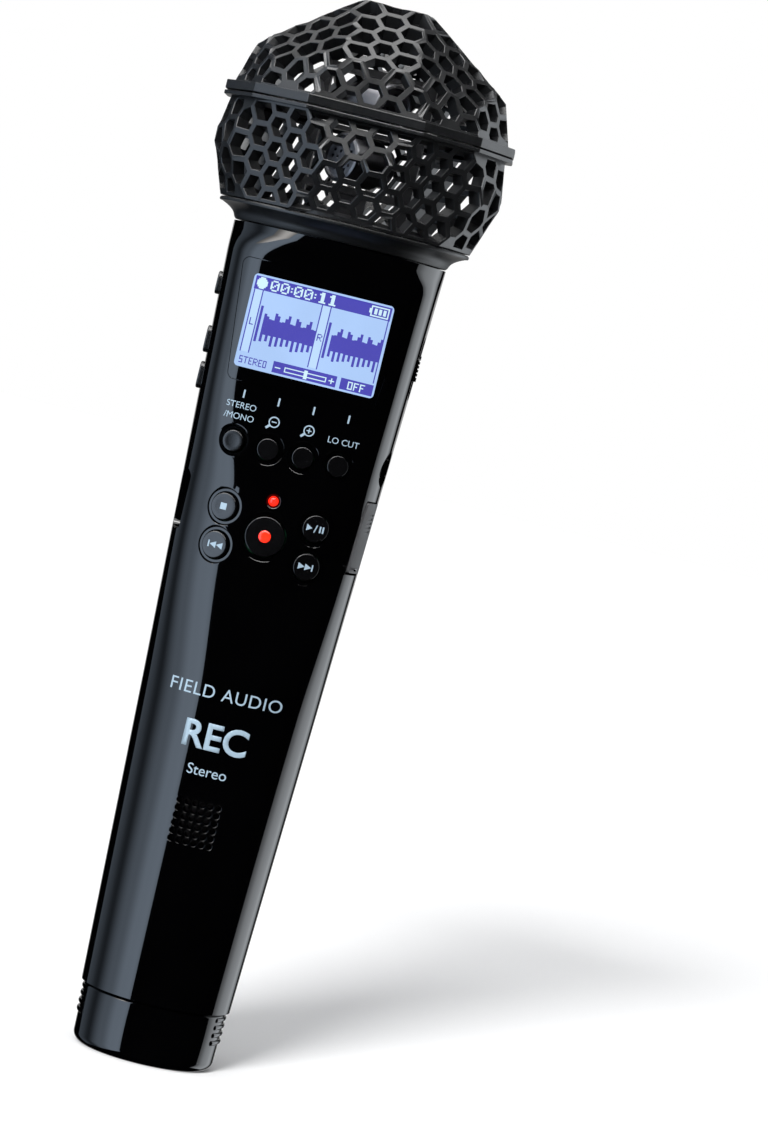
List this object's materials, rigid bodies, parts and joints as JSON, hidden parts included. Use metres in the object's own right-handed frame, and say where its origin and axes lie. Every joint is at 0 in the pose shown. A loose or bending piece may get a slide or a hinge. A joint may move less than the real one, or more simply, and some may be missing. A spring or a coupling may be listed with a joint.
{
  "type": "portable field recorder",
  "caption": "Hand-held microphone-shaped sound recorder: open honeycomb grille over crossed capsules, tapering gloss handle with a display, keys, side sockets and a pull-off battery cap.",
  "frame": {"origin": "middle of the end cap's flat underside, which the recorder stands on", "axes": "+Z along the handle towards the grille, -Y out of the display side, +X to the right of someone facing the display"},
  "size_m": [0.0584, 0.0568, 0.214],
  "materials": {
    "grille_black": "fine satin texture on a moulded honeycomb",
    "collar_black": "fine satin texture",
    "holder_black": "moulded satin",
    "capsule_metal": "brushed",
    "gloss_black": "high gloss piano black",
    "window_black": "polished",
    "display_blue": "lit dot-matrix screen",
    "board_green": "solder mask",
    "lamp_red": "lit red lens",
    "contact_metal": "nickel plate",
    "jack_black": "moulded satin",
    "card_black": "moulded satin",
    "speaker_grey": "pressed basket and paper cone",
    "cell_silver": "foil jacket",
    "switch_black": "moulded satin",
    "cover_grey": "soft matt",
    "key_black": "semi gloss",
    "side_key_black": "satin",
    "screw_black": "black oxide"
  },
  "bodies": {
    "recorder": {"upper_grille": "grille_black", "lower_grille": "grille_black", "neck_collar": "collar_black", "capsule_holder": "holder_black", "capsule_left": "capsule_metal", "capsule_right": "capsule_metal", "front_shell": "gloss_black", "rear_shell": "gloss_black", "display_window": "window_black", "display_module": "display_blue", "main_board": "board_green", "inner_frame": "holder_black", "record_light": "lamp_red", "usb_socket": "contact_metal", "line_out_jack": "jack_black", "cover_pin": "contact_metal", "card_socket": "contact_metal", "memory_card": "card_black", "speaker": "speaker_grey", "battery_1": "cell_silver", "battery_2": "cell_silver", "battery_contact": "contact_metal", "case_screw_1": "screw_black", "case_screw_2": "screw_black", "case_screw_3": "screw_black", "case_screw_4": "screw_black"},
    "key_stereo_mono_body": {"key_stereo_mono": "key_black"},
    "key_zoom_out_body": {"key_zoom_out": "key_black"},
    "key_zoom_in_body": {"key_zoom_in": "key_black"},
    "key_low_cut_body": {"key_low_cut": "key_black"},
    "stop_button_body": {"stop_button": "key_black"},
    "rewind_button_body": {"rewind_button": "key_black"},
    "play_button_body": {"play_button": "key_black"},
    "forward_button_body": {"forward_button": "key_black"},
    "record_button_body": {"record_button": "key_black", "record_lens": "lamp_red"},
    "menu_button_body": {"menu_button": "side_key_black"},
    "volume_up_body": {"volume_up": "side_key_black"},
    "volume_down_body": {"volume_down": "side_key_black"},
    "power_switch_body": {"power_switch": "switch_black"},
    "card_cover_body": {"card_cover": "cover_grey"},
    "end_cap_body": {"end_cap": "gloss_black", "battery_spring": "contact_metal"}
  },
  "joints": [
    {"name": "key_stereo_mono_press", "type": "slide", "parent": "recorder", "child": "key_stereo_mono_body", "axis": [0, 1, 0], "range_m": [0, 0.0005], "stiffness_N_per_m": 500, "springref_m": -0.0004},
    {"name": "key_zoom_out_press", "type": "slide", "parent": "recorder", "child": "key_zoom_out_body", "axis": [0, 1, 0], "range_m": [0, 0.0005], "stiffness_N_per_m": 500, "springref_m": -0.0004},
    {"name": "key_zoom_in_press", "type": "slide", "parent": "recorder", "child": "key_zoom_in_body", "axis": [0, 1, 0], "range_m": [0, 0.0005], "stiffness_N_per_m": 500, "springref_m": -0.0004},
    {"name": "key_low_cut_press", "type": "slide", "parent": "recorder", "child": "key_low_cut_body", "axis": [0, 1, 0], "range_m": [0, 0.0005], "stiffness_N_per_m": 500, "springref_m": -0.0004},
    {"name": "stop_button_press", "type": "slide", "parent": "recorder", "child": "stop_button_body", "axis": [0, 1, 0], "range_m": [0, 0.0005], "stiffness_N_per_m": 500, "springref_m": -0.0004},
    {"name": "rewind_button_press", "type": "slide", "parent": "recorder", "child": "rewind_button_body", "axis": [0, 1, 0], "range_m": [0, 0.0005], "stiffness_N_per_m": 500, "springref_m": -0.0004},
    {"name": "play_button_press", "type": "slide", "parent": "recorder", "child": "play_button_body", "axis": [0, 1, 0], "range_m": [0, 0.0005], "stiffness_N_per_m": 500, "springref_m": -0.0004},
    {"name": "forward_button_press", "type": "slide", "parent": "recorder", "child": "forward_button_body", "axis": [0, 1, 0], "range_m": [0, 0.0005], "stiffness_N_per_m": 500, "springref_m": -0.0004},
    {"name": "record_button_press", "type": "slide", "parent": "recorder", "child": "record_button_body", "axis": [0, 1, 0], "range_m": [0, 0.0005], "stiffness_N_per_m": 500, "springref_m": -0.0004},
    {"name": "menu_button_press", "type": "slide", "parent": "recorder", "child": "menu_button_body", "axis": [1, 0, 0], "range_m": [0, 0.0005], "stiffness_N_per_m": 500, "springref_m": -0.0004},
    {"name": "volume_up_press", "type": "slide", "parent": "recorder", "child": "volume_up_body", "axis": [1, 0, 0], "range_m": [0, 0.0005], "stiffness_N_per_m": 500, "springref_m": -0.0004},
    {"name": "volume_down_press", "type": "slide", "parent": "recorder", "child": "volume_down_body", "axis": [1, 0, 0], "range_m": [0, 0.0005], "stiffness_N_per_m": 500, "springref_m": -0.0004},
    {"name": "power_switch_slide", "type": "slide", "parent": "recorder", "child": "power_switch_body", "axis": [0, 0, 1], "range_m": [-0.003, 0.003]},
    {"name": "card_cover_hinge", "type": "hinge", "parent": "recorder", "child": "card_cover_body", "pos_m": [0.0185, -0.007, 0.1047], "axis": [0, 1, 0], "range_deg": [0, 100]},
    {"name": "end_cap_slide", "type": "slide", "parent": "recorder", "child": "end_cap_body", "axis": [0, 0, -1], "range_m": [0, 0.014]}
  ]
}
